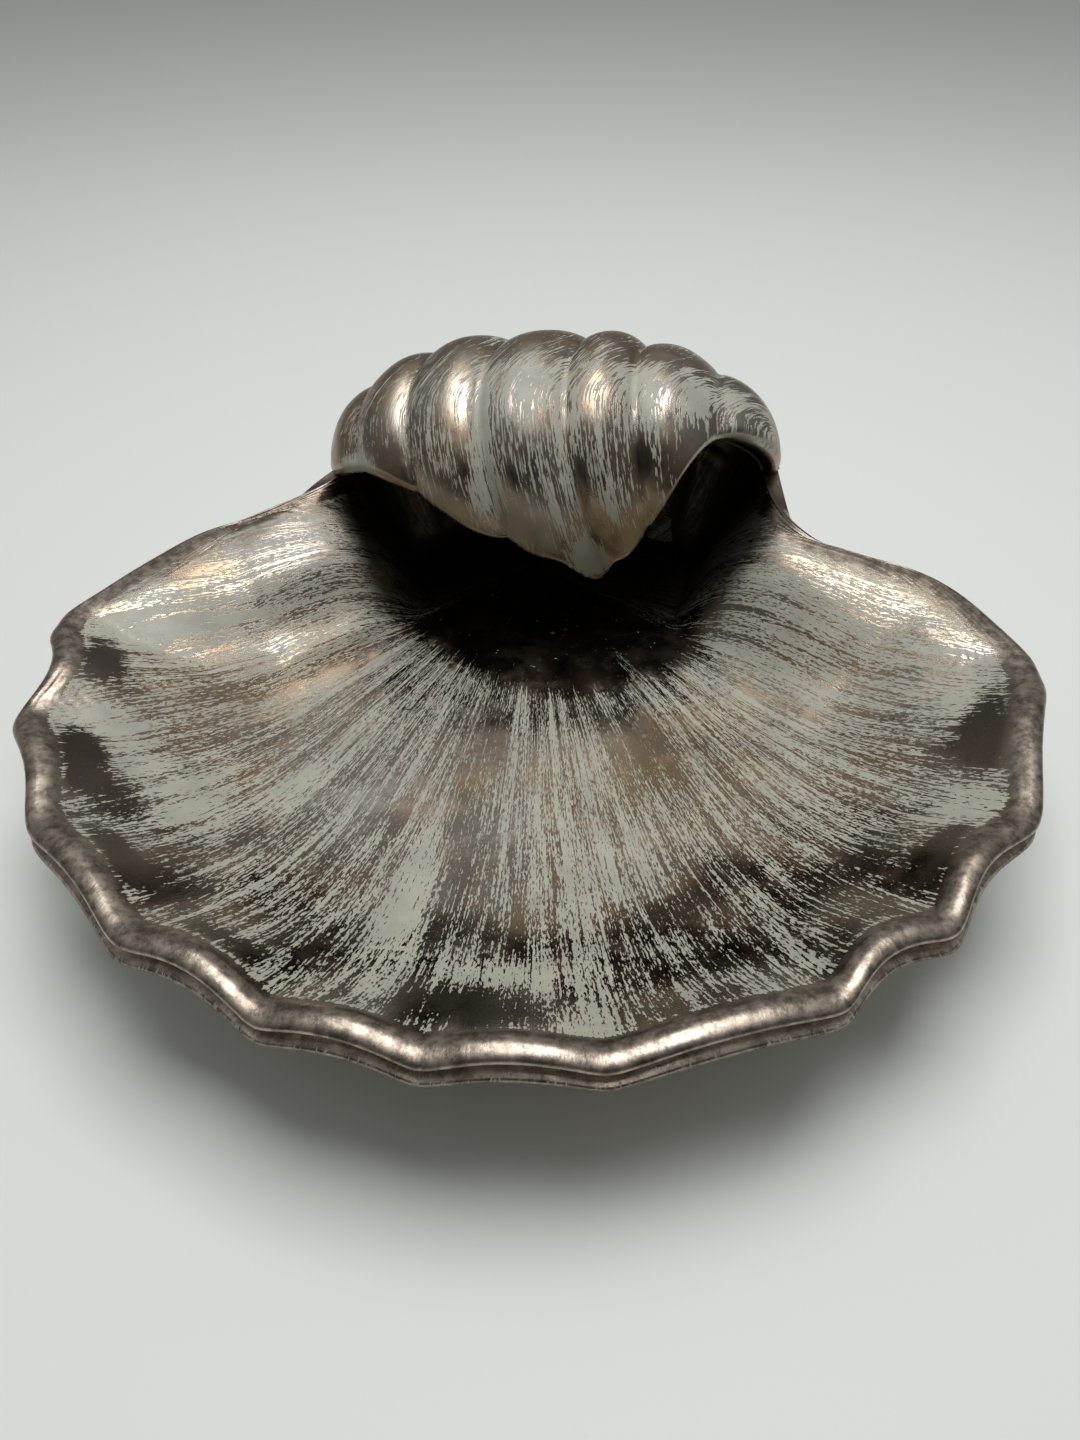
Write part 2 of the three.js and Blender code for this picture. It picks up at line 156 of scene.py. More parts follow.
# Bare pockets in the ribs, darkened with painted dark reflection: share of the way up the wall, share of the
# rib's arch, weight for each rib.
# Touches that take paint away beyond a distance from the hub get the same painted dark reflection.
POCKET_SPAN = (0.82, 0.89, 0.905, 0.945)
POCKET_ARCH = (0.3, 0.95)
RIB_POCKETS = [0.7, 1.0, 1.0, 0.7, 0.3, 0.2, 0.3, 0.4, 0.7, 0.9]
POCKET_LOSS = 0.70
POCKET_PAINTED_REFLECTION = 1.5
MISSED_BEYOND = 0.165
MISSED_PAINTED_REFLECTION = 2.8
POCKET_REFLECTION_MOST = 0.88

# Rim: hairs of paint that reach it, its bare band on the fan and on the shoulders, painted shade on the
# shoulders' band, and painted shade in its undercut
RIM_HAIR_SHARE = 0.942
RIM_HAIR_WIDTH = 0.009
RIM_HAIR_SPAN_DEG = (42, 36)
RIM_HAIR_GAIN = 0.50
RIM_BAND_START = (0.942, 0.87)
RIM_BAND_END = 0.962
RIM_LOSS = (1.1, 0.915, 0.975)
UNDERCUT_SPAN = (0.982, 0.994)
UNDERCUT_PAINTED_SHADE = 0.89
# Painted shade on the shoulders' rim band, in place of its patina
SHOULDER_SHADE_SPAN = (0.25, 0.6)
SHOULDER_PAINTED_SHADE = 0.95
SHOULDER_SHADE_PATINA_LOSS = 0.8

# Bare cavern, dark with painted shade. Its front edge is brushed, and a painted black shade softens it from
# an angle round the hub on both sides.
# Its border is an angle round the hub and a distance from the middle of the hood.
CAVERN_LOSS = 0.9
CAVERN_SOFTNESS = 0.010
SIDE_SHADE_SOFTNESS = (0.006, 0.005)
SIDE_SHADE_SPAN_DEG = (42, 58)
CAVERN_BORDER = [
    (-85, 0.082), (-68, 0.081), (-58, 0.080), (-51, 0.076), (-44, 0.069), (-36, 0.068), (-16, 0.0735),
    (0, 0.078), (20, 0.080), (47, 0.077), (56, 0.082), (60, 0.085), (66, 0.086), (74, 0.084), (80, 0.086),
]

# Touches of the brush in the bowl: angle round the hub, distance from it, their half widths, change of paint
BOWL_TOUCHES = [
    (-66, 0.120, 10, 0.030, 0.02),
    (-66, 0.134, 3, 0.010, -0.35),
    (-58, 0.155, 4, 0.020, 0.35),
    (-58, 0.126, 4, 0.016, 0.22),
    (-52, 0.172, 3.5, 0.007, -0.45),
    (-44, 0.180, 4, 0.008, 0.40),
    (-40, 0.145, 6, 0.016, -0.16),
    (-38, 0.197, 4.5, 0.007, -0.55),
    (-31, 0.150, 2.5, 0.016, 0.30),
    (-34, 0.178, 3, 0.012, 0.28),
    (-27, 0.206, 3, 0.010, -0.25),
    (-26.7, 0.214, 3, 0.007, -0.40),
    (-22, 0.178, 4, 0.012, -0.12),
    (-17, 0.147, 2.5, 0.010, -0.35),
    (-16, 0.213, 2.5, 0.008, -0.35),
    (-11.5, 0.182, 1.6, 0.026, 0.42),
    (-9.5, 0.226, 1.3, 0.012, 0.40),
    (-8, 0.104, 5, 0.016, -0.25),
    (-6.5, 0.160, 2.6, 0.022, -0.26),
    (-4, 0.190, 4, 0.008, -0.18),
    (-2, 0.209, 4, 0.006, 0.35),
    (-4, 0.226, 4.5, 0.009, -0.65),
    (5.5, 0.115, 3.5, 0.026, 0.12),
    (3.5, 0.160, 4, 0.022, 0.12),
    (3, 0.235, 2, 0.010, 0.35),
    (19, 0.112, 5, 0.018, -0.50),
    (11, 0.187, 4, 0.010, -0.40),
    (18, 0.174, 3.5, 0.010, -0.38),
    (12.5, 0.212, 4, 0.008, -0.40),
    (22, 0.200, 5, 0.012, -0.10),
    (27, 0.072, 3, 0.012, 0.62),
    (28, 0.195, 4, 0.008, -0.24),
    (28.4, 0.212, 3.5, 0.007, -0.35),
    (36, 0.204, 3, 0.008, 0.40),
    (44, 0.188, 3, 0.008, -0.50),
    (46, 0.130, 10, 0.030, 0.16),
    (50, 0.178, 4, 0.010, 0.42),
    (62, 0.145, 6, 0.020, -0.08),
]

# Paint on the hood: more in the grooves, less towards the lip, the crown and the left end, none inside.
# Over the crown the brush leaned to the left.
HOOD_PAINT = 0.50
GROOVE_GAIN = 0.16
GROOVE_LEVEL = 0.55
HOOD_LIP_LOSS = (0.30, 24, 6)
HOOD_CROWN_LOSS = (0.28, 72, 90)
HOOD_LEFT_LOSS = (0.20, -0.2, -0.6)
HOOD_TURN_LOSS = (0.5, 0.10, 0.35)
HOOD_INSIDE_LOSS = (1.5, 0.6, 0.9)
# Painted shade on the lustre inside the hood
HOOD_INSIDE_SHADE_SPAN = (0.5, 0.95)
BRUSH_LEAN = (0.018, 55, 105)

# Touches on the hood: fraction along it, angle about its axis, their half widths, change of paint
HOOD_TOUCHES = [
    (-0.74, 30, 0.12, 9, 1.10),
    (-0.45, 57, 0.06, 16, -0.22),
    (-0.18, 60, 0.08, 18, -0.25),
    (-0.12, 14, 0.05, 7, 0.45),
    (-0.04, 50, 0.04, 26, 0.25),
    (0.13, 64, 0.08, 14, 0.38),
    (0.17, 12, 0.03, 7, 0.42),
    (0.03, 9, 0.07, 8, -0.30),
    (0.30, 5, 0.06, 10, -0.30),
    (0.245, -16, 0.055, 8, 2.40),
    (0.38, 86, 0.03, 10, 0.35),
    (0.50, 66, 0.07, 12, 0.40),
    (0.41, 14, 0.05, 9, 0.12),
    (0.70, 64, 0.04, 12, 0.50),
    (0.60, 86, 0.10, 7, -0.30),
    (0.71, 57, 0.04, 10, 0.35),
    (0.83, 70, 0.04, 9, 0.45),
    (0.90, 58, 0.03, 9, 0.50),
    (0.97, 70, 0.05, 50, 0.40),
]

# Painted dark reflections on the hood: fraction along it, angle about its axis, their half widths, how dark
HOOD_REFLECTION_FACE = (0.4, 0.1)
HOOD_REFLECTION_SPAN = (0.2, 0.9)
HOOD_REFLECTION_PAINT_LOSS = 0.6
HOOD_PAINTED_REFLECTIONS = [
    (-0.15, 28, 0.018, 6, 0.7),
    (0.05, 24, 0.022, 6, 1.0),
    (0.30, 22, 0.022, 9, 1.5),
    (0.515, 32, 0.028, 9, 1.6),
]

# Heights and places that follow from the sizes above
FLOOR_UNDER = FOOT_HEIGHT + SEAM
FLOOR_TOP = FLOOR_UNDER + BOWL_WALL
RIM_EDGE = FLOOR_TOP + BOWL_DEPTH
HOOD_AXIS_Z = FLOOR_TOP + HOOD_AXIS_RISE
LEDGE_Z = HOOD_AXIS_Z - SEAM
FLOOR_BACK_Y = FLOOR_CENTRE_Y + FLOOR_HALF_DEPTH
HUB_Y = FLOOR_BACK_Y - HUB_INSET
HOOD_AXIS_Y = FLOOR_BACK_Y - HOOD_AXIS_INSET

# The fan's middle in the frame: the foot ring is centred on the floor
FOOT_LOW, FOOT_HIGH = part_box("foot_ring")
FAN_MIDDLE = np.array([
    (FOOT_LOW[0] + FOOT_HIGH[0]) / 2,
    (FOOT_LOW[1] + FOOT_HIGH[1]) / 2 - FLOOR_CENTRE_Y,
    0.0,
])

# Mesh fineness
RIB_STEPS = 24
SHOULDER_STEPS = 60
CURVE_STEPS = 400
WALL_STEPS = 40
EDGE_STEPS = 24
EDGE_SHARE = 0.84
FLOOR_STEPS = 24
ROLL_STEPS = 16
WHORL_STEPS = 16
HOOD_BACK_STEPS = 36
HOOD_FRONT_STEPS = 44
LIP_STEPS = 12
FOOT_STEPS = 160
FOOT_ROUND_STEPS = 6
HOOD_SLIP_STEPS = 16
FOOT_SLIP_STEPS = 24
WELD_DECIMALS = 7
LEAST_RUN = 1e-6


def lerp(a, b, share):
    return a + (b - a) * share


def smoothstep(value, low, high):
    share = np.clip((value - low) / (high - low), 0, 1)
    return share * share * (3 - 2 * share)


def fade(value, strength, low, high):
    return strength * smoothstep(value, low, high)


def sum_of_touches(across, along, touches):
    """Soft round touches: two places, two half widths and a strength each."""
    whole = np.zeros(across.shape)
    for at, distance, wide, deep, change in touches:
        whole += change * np.exp(-(((across - at) / wide) ** 2) - ((along - distance) / deep) ** 2)
    return whole


# Meshes

def lattice(name, grid, close_rows, close_columns, attributes):
    """One closed mesh from rows of points. Points that coincide are welded, and faces turn outward."""
    rows, columns = grid.shape[:2]
    number = np.arange(rows * columns).reshape(rows, columns)
    down = np.roll(number, -1, axis=0)
    along = np.roll(number, -1, axis=1)
    across = np.roll(down, -1, axis=1)
    quads = np.stack([number, down, across, along], axis=-1)
    quads = quads[: rows if close_rows else rows - 1, : columns if close_columns else columns - 1]
    quads = quads.reshape(-1, 4)

    points = grid.reshape(-1, 3)
    rounded = np.round(points, WELD_DECIMALS)
    _, first, welded = np.unique(rounded, axis=0, return_index=True, return_inverse=True)
    points = points[first]
    faces = []
    for quad in welded.reshape(-1)[quads].tolist():
        face = [quad[k] for k in range(4) if quad[k] != quad[k - 1]]
        if len(face) > 2:
            faces.append(face)
    corners = np.array([[face[0], face[1], face[2]] for face in faces])
    a, b, c = (points[corners[:, k]] for k in range(3))
    if np.einsum("ij,ij->i", a, np.cross(b, c)).sum() < 0:
        faces = [face[::-1] for face in faces]

    mesh = bpy.data.meshes.new(name)
    mesh.from_pydata((points + FAN_MIDDLE).tolist(), [], faces)
    for label, values in attributes.items():
        flat = values.reshape(rows * columns, -1)[first]
        kind, key = ("FLOAT", "value") if flat.shape[1] == 1 else ("FLOAT_VECTOR", "vector")
        layer = mesh.attributes.new(label, kind, "POINT")
        layer.data.foreach_set(key, flat.astype(np.float32).ravel())
    mesh.shade_smooth()
    mesh.update()
    piece = bpy.data.objects.new(name, mesh)
    bpy.context.collection.objects.link(piece)
    return piece


def lumps(grid):
    """Slow unevenness of the surface, as a height for each point."""
    height = np.zeros(grid.shape[:2])
    for number, (length, size, direction) in enumerate(LUMPS):
        axis = np.array(direction) / np.linalg.norm(direction)
        height += size * np.sin(grid @ axis * (2 * math.pi / length) + LUMP_LAG * number)
    return height


def adopt(piece, node, material):
    """Let a fine piece stand for a CAD node, in its finish."""
    piece.data.materials.append(material)
    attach(piece, "root")
    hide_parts(node)


# Hood

def whorl_stations():
    """Fractions along the hood from tip to tip, with the crest height at each."""
    edges = [-1.0, *WHORL_GROOVES, 1.0]
    steps = np.arange(WHORL_STEPS) / WHORL_STEPS
    along, crest = [], []
    for number, (start, end) in enumerate(zip(edges, edges[1:])):
        share = steps
        if number == 0:
            share = steps ** 2
        if number == len(edges) - 2:
            share = 1 - (1 - steps) ** 2
        along.append(lerp(start, end, share))
        crest.append(np.sin(math.pi * steps) ** WHORL_FULLNESS)
    return np.append(np.concatenate(along), 1.0), np.append(np.concatenate(crest), 0.0)


def hood_skin(along, crest, angle, inset):
    """Offset along the axis and radius of the hood's skin at an angle about the axis."""
    half_length = HOOD_HALF_LENGTH - inset
    swing = np.sin(math.pi * (math.pi - angle) / WHORL_LEAN_SPAN)
    offset = half_length * along - WHORL_LEAN * swing ** 2 * (1 - along ** 2)
    slender = np.maximum(0, 1 - np.abs(offset / half_length) ** SPINDLE_POWER) ** (1 / SPINDLE_POWER)
    relief = WHORL_RISE * crest * np.sqrt(slender) if inset <= 0 else 0
    return offset, (HOOD_RADIUS - inset) * slender + relief


def around_hood(offset, radius, angle):
    return np.stack([
        HOOD_CENTRE_X + offset,
        HOOD_AXIS_Y - radius * np.cos(angle),
        HOOD_AXIS_Z + radius * np.sin(angle),
    ], axis=-1)


def lip_angle(along):
    fall = LIP_FALL_DEG * smoothstep(along, *LIP_FALL_SPAN)
    climb = LIP_CLIMB_DEG * smoothstep(along, *LIP_CLIMB_SPAN)
    tip = LIP_TIP_DEG * np.exp(-(((along - LIP_TIP_AT) / LIP_TIP_WIDTH) ** 2))
    return np.radians(LIP_LEFT_DEG - fall + climb - tip)


def hood_base(along, crest, inset):
    """Plan outline of the hood's base at the back."""
    offset, radius = hood_skin(along, crest, math.pi, inset)
    return np.stack([HOOD_CENTRE_X + offset, HOOD_AXIS_Y + radius], axis=-1)


def make_hood(material):
    """Hood in one closed mesh: outside, rounded lip, inside and base."""
    along, crest = whorl_stations()
    along, crest = along[:, None], crest[:, None]
    lip = lip_angle(along)
    back = np.arange(HOOD_BACK_STEPS) / HOOD_BACK_STEPS
    front = np.arange(HOOD_FRONT_STEPS + 1) / HOOD_FRONT_STEPS
    angles = np.hstack([
        np.broadcast_to(lerp(math.pi, HOOD_CROWN, back), (len(along), len(back))),
        lerp(HOOD_CROWN, lip, front[None]),
    ])
    offset, radius = hood_skin(along, crest, angles, 0)
    outer = around_hood(offset, radius + lumps(around_hood(offset, radius, angles)), angles)
    offset, radius = hood_skin(along, crest, angles, HOOD_WALL)
    inner = around_hood(offset, radius, angles)

    turn = math.pi * np.arange(1, LIP_STEPS) / LIP_STEPS
    share = (1 - np.cos(turn))[None, :, None] / 2
    edge_out, edge_in = outer[:, -1:, :], inner[:, -1:, :]
    bulge = np.linalg.norm(edge_out - edge_in, axis=-1) / 2 * np.sin(turn)
    lip_round = lerp(edge_out, edge_in, share)
    lip_round[..., 1] -= bulge * np.sin(lip)
    lip_round[..., 2] -= bulge * np.cos(lip)
    base = lerp(inner[:, :1, :], outer[:, :1, :], share)

    grid = np.concatenate([outer, lip_round, inner[:, ::-1], base], axis=1)
    whole = grid.shape[:2]
    lip_columns = np.repeat(lip, LIP_STEPS - 1, axis=1)
    base_columns = np.full(lip_columns.shape, math.pi)
    turned = np.hstack([angles, lip_columns, angles[:, ::-1], base_columns])
    inside = np.hstack([
        np.zeros(angles.shape),
        np.repeat(share[..., 0], len(along), 0),
        np.ones(angles.shape),
        np.ones(lip_columns.shape),
    ])
    station, lip, crest = (np.broadcast_to(values, whole) for values in (along, lip, crest))
    brush = station * HOOD_HALF_LENGTH - fade(np.degrees(turned), *BRUSH_LEAN)
    marks = hood_marks(station, crest, np.degrees(turned), np.degrees(lip), inside)
    marks["wrap"] = np.stack([brush, turned * HOOD_RADIUS, inside], axis=-1)
    adopt(lattice("whelk_hood_fine", grid, False, True, marks), "whelk_hood", material)


def hood_marks(along, crest, angle, lip, inside):
    """Paint, and lustre darkened by painted shade inside and by painted dark reflections on the whorls, for
    each point of the hood.
    """
    paint = HOOD_PAINT + GROOVE_GAIN * (GROOVE_LEVEL - crest)
    paint -= fade(angle - lip, *HOOD_LIP_LOSS)
    paint -= fade(angle, *HOOD_CROWN_LOSS)
    paint -= fade(along, *HOOD_LEFT_LOSS)
    paint -= fade(inside, *HOOD_TURN_LOSS) + fade(inside, *HOOD_INSIDE_LOSS)
    paint += sum_of_touches(along, angle, HOOD_TOUCHES)
    # Painted dark reflections on the whorls' outer face: dark lustre with less paint
    shade = sum_of_touches(along, angle, HOOD_PAINTED_REFLECTIONS) * smoothstep(inside, *HOOD_REFLECTION_FACE)
    # Painted shade inside the hood, and the painted dark reflections
    deep = np.maximum(smoothstep(inside, *HOOD_INSIDE_SHADE_SPAN), smoothstep(shade, *HOOD_REFLECTION_SPAN))
    return {"paint": paint - HOOD_REFLECTION_PAINT_LOSS * shade, "deep": deep}


# Bowl

def fan_corner(degrees, inset):
    angle = np.radians(degrees)
    across, ahead = FAN_HALF_WIDTH - inset, FAN_FRONT_REACH - inset
    return np.stack([across * np.sin(angle), -ahead * np.cos(angle)], axis=-1)


def fan_rim():
    """Outline, edge height, way up the shoulder and rib arch of the fan, with a V at each rib edge."""
    points, edges, arches = [], [], []
    share = (1 - np.cos(math.pi * np.arange(RIB_STEPS) / RIB_STEPS)) / 2
    arch = np.sin(math.pi * share)
    for start, end, inset in zip(RIB_EDGES_DEG, RIB_EDGES_DEG[1:], RIB_INSETS):
        points.append(fan_corner(lerp(start, end, share), inset * arch))
        edges.append(RIM_EDGE + RIB_RISE * arch)
        arches.append(arch)
    climbed = np.zeros(len(share) * len(points))
    return np.vstack(points), np.concatenate(edges), climbed, np.concatenate(arches)


def shoulder_rim(corner, tip, controls, side):
    """The same for one shoulder, from the fan's end corner up to the hood's tip."""
    line = tip - corner
    outward = np.array([line[1], -line[0]]) * side
    handles = [corner + along * line + out * outward for along, out in controls]
    t = np.linspace(0, 1, CURVE_STEPS)[:, None]
    curve = (1 - t) ** 3 * corner + 3 * (1 - t) ** 2 * t * handles[0]
    curve += 3 * (1 - t) * t ** 2 * handles[1] + t ** 3 * tip
    walked = np.concatenate([[0], np.cumsum(np.linalg.norm(np.diff(curve, axis=0), axis=1))])
    share = np.arange(SHOULDER_STEPS + 1) / SHOULDER_STEPS
    points = np.stack([np.interp(share * walked[-1], walked, curve[:, k]) for k in range(2)], axis=-1)
    return points, lerp(RIM_EDGE, LEDGE_Z, share ** 2), share, share * 0


def bowl_rim():
    """The whole rim in order: fan, right shoulder, ledge under the hood from right to left, left shoulder."""
    along, crest = whorl_stations()
    ledge = hood_base(along[::-1], crest[::-1], 0)
    ones = np.ones(len(ledge))
    right = shoulder_rim(fan_corner(RIB_EDGES_DEG[-1], 0), ledge[0], RIGHT_SHOULDER, 1)
    left = shoulder_rim(fan_corner(RIB_EDGES_DEG[0], 0), ledge[-1], LEFT_SHOULDER, -1)
    parts = [
        fan_rim(),
        [values[:-1] for values in right],
        (ledge, ones * LEDGE_Z, ones, ones * 0),
        [values[1:-1][::-1] for values in left],
    ]
    return soften_rim(*[np.concatenate([part[k] for part in parts]) for k in range(4)])


def soften_rim(points, edge, climbed, arch):
    """Round the corners of the rim, most where the fan meets the shoulders, and leave the ledge as it is."""
    step = np.linalg.norm(np.roll(points, -1, axis=0) - points, axis=1)
    walked = np.concatenate([[0], np.cumsum(step)])
    gap = np.abs(walked[:-1, None] - walked[None, :-1])
    gap = np.minimum(gap, walked[-1] - gap)
    fan = RIB_STEPS * (len(RIB_EDGES_DEG) - 1)
    from_ends = np.minimum(gap[0], gap[fan])
    corner_round = lerp(*CORNER_ROUND, smoothstep(np.abs(points[:, 0]), *CORNER_ROUND_SPAN))
    reach = lerp(SHOULDER_ROUND, corner_round, smoothstep(from_ends, *SHOULDER_ROUND_SPAN))
    reach = lerp(reach, LEDGE_ROUND, smoothstep(climbed, *LEDGE_ROUND_SPAN))
    weight = np.exp(-0.5 * (gap / reach[:, None]) ** 2) * (step + np.roll(step, 1))[None]
    weight /= weight.sum(axis=1)[:, None]
    return weight @ points, weight @ edge, climbed, weight @ arch


def floor_reach(direction):
    """Distance from the hub to the floor's edge along each direction in plan."""
    ahead = HUB_Y - FLOOR_CENTRE_Y
    a = (direction[:, 0] / FLOOR_HALF_WIDTH) ** 2 + (direction[:, 1] / FLOOR_HALF_DEPTH) ** 2
    b = direction[:, 1] * ahead / FLOOR_HALF_DEPTH ** 2
    c = (ahead / FLOOR_HALF_DEPTH) ** 2 - 1
    return (np.sqrt(b * b - a * c) - b) / a


def flared_climb(share, curve, start, end):
    """Share of the wall's height at a share of its width: hollow below the flare, then eased to the lip."""
    run = np.maximum(1 - start, LEAST_RUN)
    climb = 1 / (1 + curve * run / (2 * start))
    t = np.clip((share - start) / run, 0, 1)
    steep = climb * curve * run / start
    eased = (2 * t ** 3 - 3 * t ** 2 + 1) * climb + (t ** 3 - 2 * t ** 2 + t) * steep
    eased = eased + 3 * t ** 2 - 2 * t ** 3 + (t ** 3 - t ** 2) * end * run
    return np.where(share <= start, climb * (share / start) ** curve, eased)


def nearest_lip(points, rim_line):
    """Number of the rim point nearest to each point in plan, and how far up the wall to it the point is."""
    gap = np.linalg.norm(points[:, None] - rim_line[None], axis=-1)
    from_hood = np.hypot(points[:, 0] - HOOD_CENTRE_X, points[:, 1] - HUB_Y)
    width = lerp(BACK_WIDTH, SIDE_WIDTH, smoothstep(from_hood, *WIDENING_SPAN))
    return gap.argmin(axis=1), np.maximum(0, 1 - gap.min(axis=1) / width)


def bowl_spokes():
    """Directions from the hub to the points of the rim, and the values of each such spoke as columns."""
    points, edge, climbed, arch = bowl_rim()
    direction = points - np.array([0.0, HUB_Y])
    length = np.linalg.norm(direction, axis=1)
    direction /= length[:, None]
    turned = np.degrees(np.arctan2(np.abs(direction[:, 0]), -direction[:, 1]))
    side, back = smoothstep(turned, *SIDE_SPAN_DEG), smoothstep(turned, *BACK_SPAN_DEG)
    soft, upright = smoothstep(climbed, *SOFTENING_SPAN), smoothstep(climbed, *UPRIGHT_SPAN)
    thickness = lerp(lerp(*RIM_THICKNESS, soft), HOOD_WALL, upright)
    nose = lerp(*RIM_NOSE, soft) * (1 - upright) ** 2
    lean = lerp(RIM_LEAN, math.pi / 2, upright)
    inner_reach = length - nose - thickness * np.sin(lean) * (1 + upright) / 2
    values = {
        "edge": edge, "climbed": climbed, "arch": arch, "side": side, "soft": soft, "upright": upright,
        "nose": nose, "lean": lean, "flat": floor_reach(direction),
        "curve": lerp(lerp(WALL_CURVE, SIDE_CURVE, side), BACK_CURVE, back) + RIB_SCOOP * arch,
        "inner_reach": inner_reach,
        "outer_reach": inner_reach + thickness * np.sin(lean),
        "outer_edge": edge - thickness * np.cos(lean),
    }
    columns = {name: value[:, None] for name, value in values.items()}
    return SimpleNamespace(direction=direction, **columns)


# Strips of the bowl. Each gives reach from the hub, height, share of the way up the wall, and outside.

def inner_strip(spokes, share, floor_share):
    """Floor and inner wall. At the sides the wall follows the nearest lip instead of the spoke's own."""
    flat = spokes.flat * lerp(1, SIDE_FLOOR, spokes.side)
    reach = np.hstack([flat * floor_share, lerp(flat, spokes.inner_reach, share)])
    plan = np.stack([spokes.direction[:, :1] * reach, HUB_Y + spokes.direction[:, 1:] * reach], axis=-1)
    rim_line = np.array([0.0, HUB_Y]) + spokes.direction * spokes.inner_reach
    nearest, across = (np.stack(found) for found in zip(*(nearest_lip(row, rim_line) for row in plan)))
    up_wall = lerp(np.hstack([0 * floor_share, share]), across, spokes.side)
    flare_start = lerp(lerp(*FLARE_SHARE, spokes.soft), 1, spokes.upright)
    flare_end = lerp(*FLARE_END, spokes.soft)
    own = spokes.edge, flare_start, flare_end
    top, start, end = (lerp(value, value[nearest, 0], spokes.side) for value in own)
    height = lerp(FLOOR_TOP, top, flared_climb(up_wall, spokes.curve, start, end))
    return reach, height, up_wall, 0 * reach


def lip_strip(spokes, turn):
    """The lip, rolled over from the inner wall to the outer wall."""
    half = (1 - np.cos(turn)) / 2
    bulge = spokes.nose * np.sin(turn) ** lerp(*RIM_SQUARENESS, spokes.soft)
    reach = lerp(spokes.inner_reach, spokes.outer_reach, half) + bulge * np.cos(spokes.lean)
    height = lerp(spokes.edge, spokes.outer_edge, half) + bulge * np.sin(spokes.lean)
    return reach, height, 0 * reach + 1, 0 * reach + half * LIP_OUTSIDE


def outer_strip(spokes, share):
    """Outer wall from the lip down, with the bead below the lip."""
    steep = 1 - np.sqrt(np.maximum(0, 1 - share * share))
    climb = lerp(share ** (WALL_CURVE + RIB_SCOOP * spokes.arch), steep, spokes.upright)
    bead = BEAD_PROUD * smoothstep(share, *BEAD_SPAN) * smoothstep(share, 1.0, BEAD_END) * (1 - spokes.side)
    reach = lerp(spokes.flat, spokes.outer_reach, share) + bead
    height = lerp(FLOOR_UNDER, spokes.outer_edge, climb)
    return reach[:, ::-1], height[:, ::-1], share[:, ::-1], 0 * share + 1


def under_strip(spokes, floor_share):
    """Flat underside from its edge in to the hub."""
    blank = 0 * floor_share
    return spokes.flat * floor_share[:, ::-1], blank + FLOOR_UNDER, blank, blank + 1


def make_bowl(material):
    """Bowl in one closed mesh: inner face, lip, outer face and underside, along each spoke."""
    spokes = bowl_spokes()
    blank = 0 * spokes.edge
    share = blank + np.concatenate([
        np.arange(WALL_STEPS) * EDGE_SHARE / WALL_STEPS,
        np.linspace(EDGE_SHARE, 1, EDGE_STEPS + 1),
    ])
    floor_share = blank + np.arange(FLOOR_STEPS) / FLOOR_STEPS
    strips = [
        inner_strip(spokes, share, floor_share),
        lip_strip(spokes, math.pi * np.arange(1, ROLL_STEPS) / ROLL_STEPS),
        outer_strip(spokes, share),
        under_strip(spokes, floor_share),
    ]
    reach, height, up_wall, outside = (np.hstack(values) for values in zip(*strips))
    across, ahead = (way + 0 * reach for way in (spokes.direction[:, :1], spokes.direction[:, 1:]))
    grid = np.stack([across * reach, HUB_Y + ahead * reach, height], axis=-1)
    grid[..., 2] += lumps(grid) * (1 - spokes.upright)
    marks = bowl_marks(spokes, grid, reach, up_wall, outside)
    marks["spoke"] = np.stack([across, ahead, reach], axis=-1)
    adopt(lattice("scallop_bowl_fine", grid, True, False, marks), "scallop_bowl", material)


def cavern_painted_shade(from_hood, angle):
    """For each point of the bowl, how far it is in the cavern's painted shade, in the painted black shade at
    its sides, and beside its front edge.
    """
    border = np.interp(angle, *zip(*CAVERN_BORDER))
    beside = smoothstep(np.abs(angle), *SIDE_SHADE_SPAN_DEG)
    # Painted shade fills the cavern, and a softer painted black shade lies along its sides
    cavern = smoothstep(from_hood, border + CAVERN_SOFTNESS, border - CAVERN_SOFTNESS)
    cavern_side_shade = smoothstep(from_hood, border + SIDE_SHADE_SOFTNESS[0], border - SIDE_SHADE_SOFTNESS[1])
    return cavern, beside * cavern_side_shade, beside


def rib_pockets(up_wall, angle, arch):
    """How far each point is in a pocket of a rib, just below the rim."""
    low, full, fading, high = POCKET_SPAN
    hollow = smoothstep(up_wall, low, full) * smoothstep(up_wall, high, fading)
    corners = fan_corner(np.array(RIB_EDGES_DEG[1:-1]), 0)
    rib = np.searchsorted(np.degrees(np.arctan2(corners[:, 0], HUB_Y - corners[:, 1])), angle)
    return hollow * smoothstep(arch, *POCKET_ARCH) * np.array(RIB_POCKETS)[rib]


